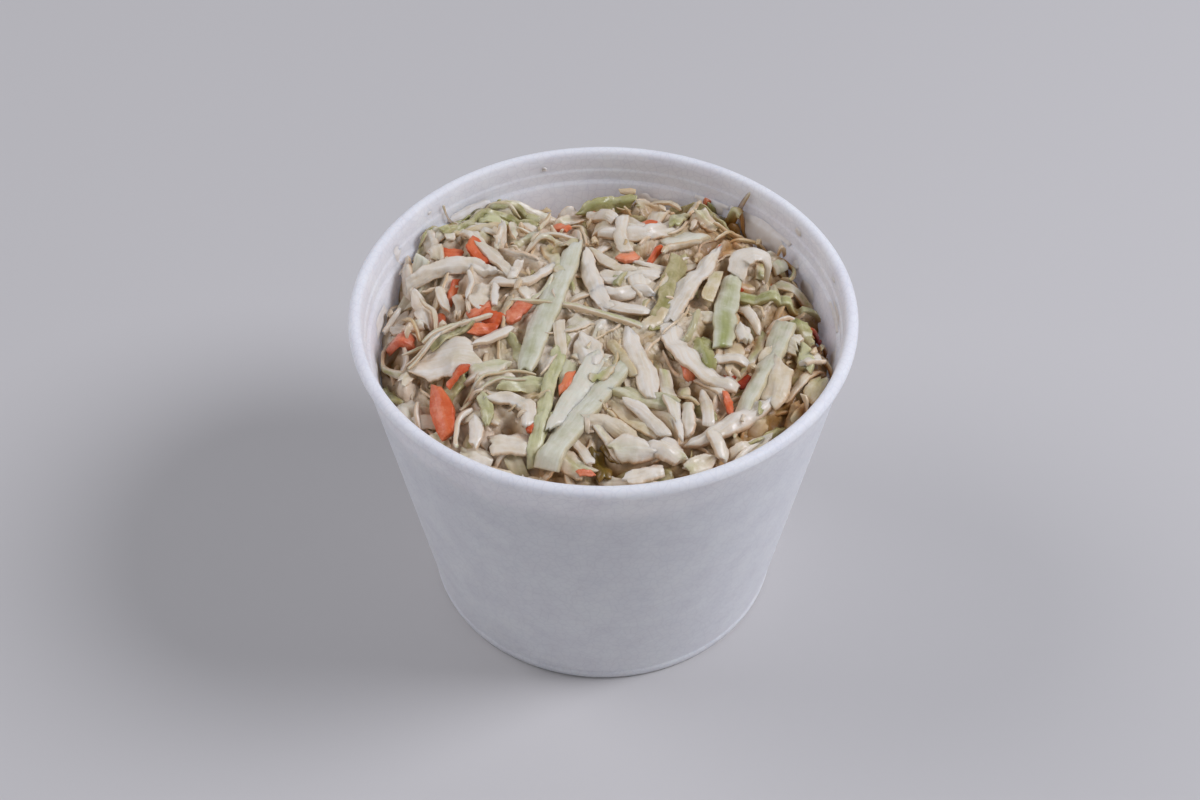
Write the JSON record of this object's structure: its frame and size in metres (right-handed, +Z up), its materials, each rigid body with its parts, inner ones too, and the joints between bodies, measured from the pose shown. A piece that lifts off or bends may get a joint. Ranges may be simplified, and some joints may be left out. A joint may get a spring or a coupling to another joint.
{
  "type": "coleslaw in a foam cup",
  "caption": "Creamy coleslaw of shredded white cabbage and carrot, heaped in an open round foam cup with tapered walls and a rounded rim.",
  "frame": {"origin": "middle of the cup's foot, on the surface that it stands on", "axes": "+Z up along the cup's axis, -Y towards the side where the salad stands highest in the cup, +X to the right of that side"},
  "size_m": [0.11, 0.11, 0.0805],
  "materials": {
    "foam": "expanded polystyrene, matt with a faint bead pattern, slightly translucent",
    "cabbage": "raw shredded white cabbage, moist and glossy under a thin dressing",
    "cabbage_green": "outer-leaf cabbage shreds, pale green, moist",
    "carrot": "raw carrot shavings, moist",
    "dressing": "thin creamy dressing, wet gloss"
  },
  "bodies": {
    "root": {"foam_cup": "foam", "coleslaw": "cabbage"}
  },
  "joints": []
}
